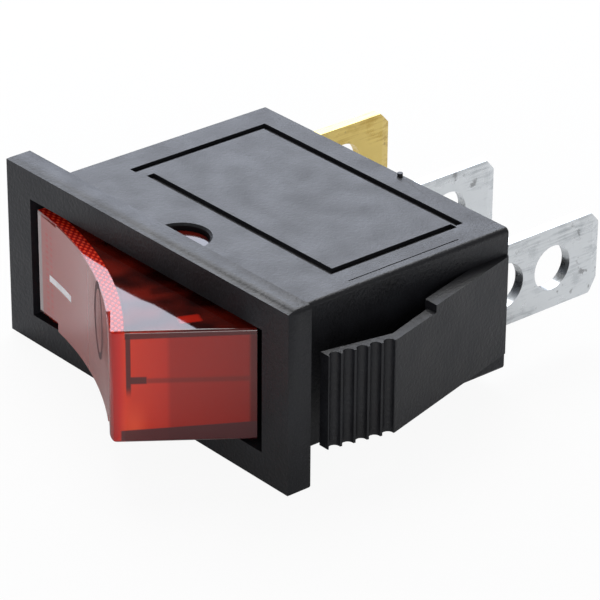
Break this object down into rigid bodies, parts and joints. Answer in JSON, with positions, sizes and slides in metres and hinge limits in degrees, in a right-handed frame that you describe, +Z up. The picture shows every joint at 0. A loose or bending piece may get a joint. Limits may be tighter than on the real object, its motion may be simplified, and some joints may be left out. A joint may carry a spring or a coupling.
{
  "type": "panel rocker switch",
  "caption": "Snap-in panel rocker switch with a translucent red rocker, an indicator lamp behind it and blade terminals.",
  "frame": {"origin": "centre of the panel cut-out on the bezel's back face, which lies on the panel's front", "axes": "+X along the bezel towards the raised end of the rocker, +Y into the panel towards the blades, +Z up across the body's wide faces"},
  "size_m": [0.034, 0.0396, 0.0138],
  "materials": {
    "housing_plastic": "black nylon, finely sparked texture",
    "rocker_plastic": "translucent red polycarbonate, polished",
    "plunger_brass": "turned brass",
    "spring_steel": "bright spring wire",
    "tinned_strip": "tinned brass strip",
    "tinned_blade": "tinned brass blade, satin, slightly scuffed",
    "contact_silver": "silver contact",
    "brass_blade": "plain brass blade, satin",
    "lamp_glass": "clear glass",
    "lamp_wire": "nickel wire",
    "sleeving": "off-white sleeving",
    "resistor_coating": "beige lacquer",
    "tinned_cap": "tinned pressed cap",
    "solder": "solder"
  },
  "bodies": {
    "housing": {"housing": "housing_plastic", "common_terminal": "tinned_blade", "load_terminal": "tinned_blade", "fixed_contact_rivet": "contact_silver", "lamp_terminal": "brass_blade"},
    "rocker": {"rocker": "rocker_plastic", "plunger_spring": "spring_steel", "lamp_contact_spring": "spring_steel", "lamp_glass": "lamp_glass", "lamp_electrode_outer": "lamp_wire", "lamp_electrode_inner": "lamp_wire", "lamp_sleeve": "sleeving", "resistor_body": "resistor_coating", "resistor_cap_outer": "tinned_cap", "resistor_cap_inner": "tinned_cap", "resistor_lead": "lamp_wire", "resistor_tail": "solder"},
    "plunger": {"plunger": "plunger_brass"},
    "moving_contact": {"moving_contact": "tinned_strip", "moving_contact_rivet": "contact_silver"}
  },
  "joints": [
    {"name": "rocker_hinge", "type": "hinge", "parent": "housing", "child": "rocker", "pos_m": [0, 0.0015, 0], "axis": [0, 0, 1], "range_deg": [0, 44.6], "deforming": ["lamp_contact_spring"]},
    {"name": "plunger_slide", "type": "slide", "parent": "rocker", "child": "plunger", "axis": [0.3795, 0.9252, 0], "range_m": [0, 0.00087], "stiffness_N_per_m": 300, "deforming": ["plunger_spring"]},
    {"name": "contact_hinge", "type": "hinge", "parent": "housing", "child": "moving_contact", "pos_m": [0, 0.0086, 0], "axis": [0, 0, 1], "range_deg": [-16, 0]}
  ],
  "couplings": [
    {"joint": "contact_hinge", "follows": "rocker_hinge", "ratio": -0.3587}
  ]
}
